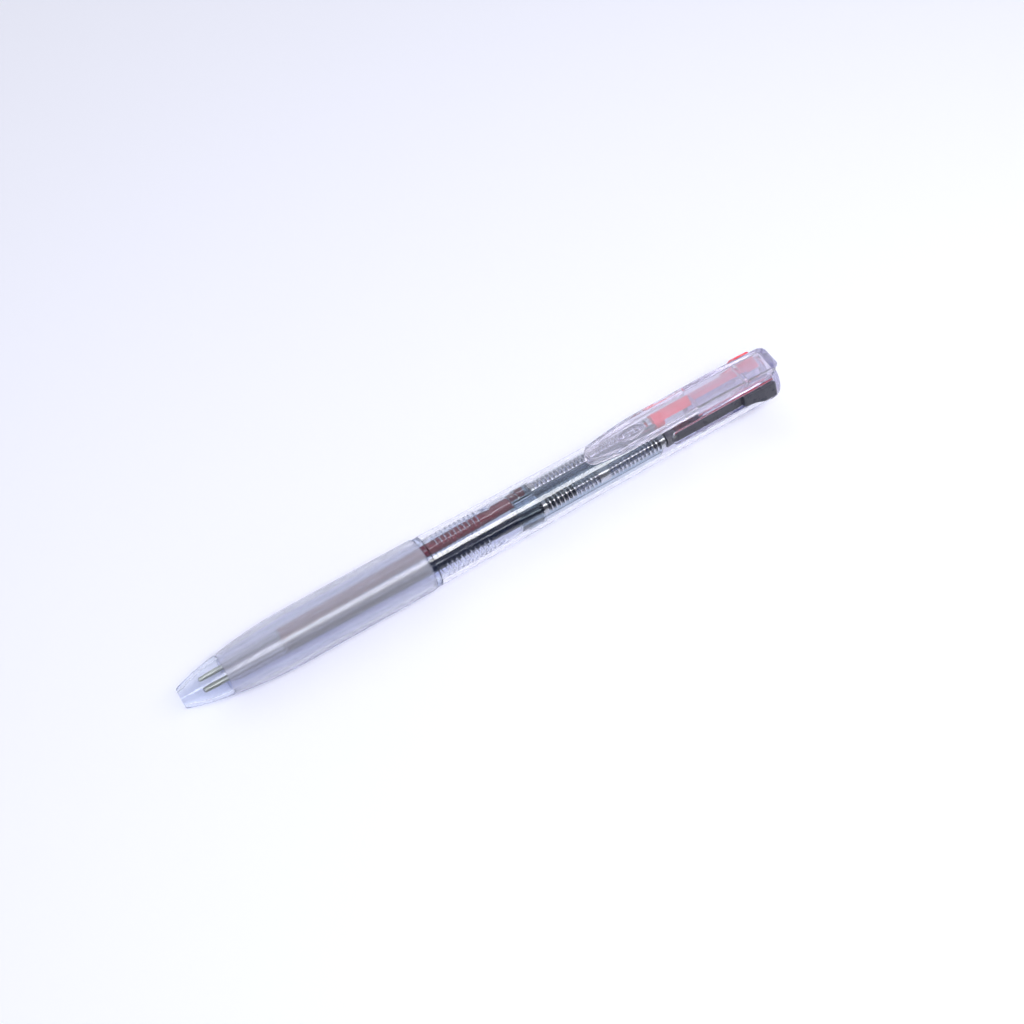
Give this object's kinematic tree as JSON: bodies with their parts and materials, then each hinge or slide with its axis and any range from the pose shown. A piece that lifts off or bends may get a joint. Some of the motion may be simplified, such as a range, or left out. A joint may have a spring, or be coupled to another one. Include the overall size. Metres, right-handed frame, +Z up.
{
  "type": "multi pen",
  "caption": "Clear retractable ballpoint with black, red and blue refills, a thumb slider for each, a frosted rubber grip and a flat clip.",
  "frame": {"origin": "middle of the bounding box's underside, level with the flat of the lowest thumb pad", "axes": "+X along the pen from the nose to the end cap, +Z up through the clip, +Y to the red slider's side"},
  "size_m": [0.146, 0.0134, 0.0149],
  "materials": {
    "clear_plastic": "clear, glossy, faint lilac tint",
    "frosted_rubber": "frosted, translucent",
    "black_plastic": "opaque, satin",
    "red_plastic": "opaque, satin",
    "blue_plastic": "opaque, satin",
    "spring_wire": "bright drawn wire",
    "refill_plastic": "clear, slightly milky",
    "black_ink": "wet, glossy",
    "red_ink": "wet, glossy",
    "blue_ink": "wet, glossy",
    "point_metal": "turned, bright",
    "ball_metal": "polished"
  },
  "bodies": {
    "barrel": {"rear_barrel": "clear_plastic", "spring_guide": "clear_plastic", "clip_cap": "clear_plastic", "return_spring_black": "spring_wire", "return_spring_red": "spring_wire", "return_spring_blue": "spring_wire"},
    "front_section": {"front_barrel": "clear_plastic", "grip_sleeve": "frosted_rubber"},
    "black_slider": {"slider_black": "black_plastic"},
    "red_slider": {"slider_red": "red_plastic"},
    "blue_slider": {"slider_blue": "blue_plastic"},
    "black_refill": {"refill_tube_black": "refill_plastic", "ink_black": "black_ink", "point_black": "point_metal", "ball_black": "ball_metal"},
    "red_refill": {"refill_tube_red": "refill_plastic", "ink_red": "red_ink", "point_red": "point_metal", "ball_red": "ball_metal"},
    "blue_refill": {"refill_tube_blue": "refill_plastic", "ink_blue": "blue_ink", "point_blue": "point_metal", "ball_blue": "ball_metal"}
  },
  "joints": [
    {"name": "slide_black", "type": "slide", "parent": "barrel", "child": "black_slider", "axis": [-1, 0, 0], "range_m": [0, 0.0075], "stiffness_N_per_m": 120, "springref_m": -0.008, "deforming": ["return_spring_black"]},
    {"name": "slide_red", "type": "slide", "parent": "barrel", "child": "red_slider", "axis": [-1, 0, 0], "range_m": [0, 0.0075], "stiffness_N_per_m": 120, "springref_m": -0.008, "deforming": ["return_spring_red"]},
    {"name": "slide_blue", "type": "slide", "parent": "barrel", "child": "blue_slider", "axis": [-1, 0, 0], "range_m": [0, 0.0075], "stiffness_N_per_m": 120, "springref_m": -0.008, "deforming": ["return_spring_blue"]},
    {"name": "steer_black", "type": "hinge", "parent": "black_slider", "child": "black_refill", "pos_m": [0.039, -0.00225, 0.0081], "axis": [0, -0.5, -0.866], "range_deg": [0, 0.5], "deforming": ["refill_tube_black", "ink_black"]},
    {"name": "steer_red", "type": "hinge", "parent": "red_slider", "child": "red_refill", "pos_m": [0.039, 0.00225, 0.0081], "axis": [0, -0.5, 0.866], "range_deg": [0, 0.5], "deforming": ["refill_tube_red", "ink_red"]},
    {"name": "steer_blue", "type": "hinge", "parent": "blue_slider", "child": "blue_refill", "pos_m": [0.039, 0, 0.0042], "axis": [0, 1, 0], "range_deg": [0, 0.5], "deforming": ["refill_tube_blue", "ink_blue"]},
    {"name": "front_section_off", "type": "slide", "parent": "barrel", "child": "front_section", "axis": [-1, 0, 0], "range_m": [0, 0.085]}
  ],
  "couplings": [
    {"joint": "steer_black", "follows": "slide_black", "rad_per_m": 1.0515},
    {"joint": "steer_red", "follows": "slide_red", "rad_per_m": 1.0515},
    {"joint": "steer_blue", "follows": "slide_blue", "rad_per_m": 1.0515}
  ]
}
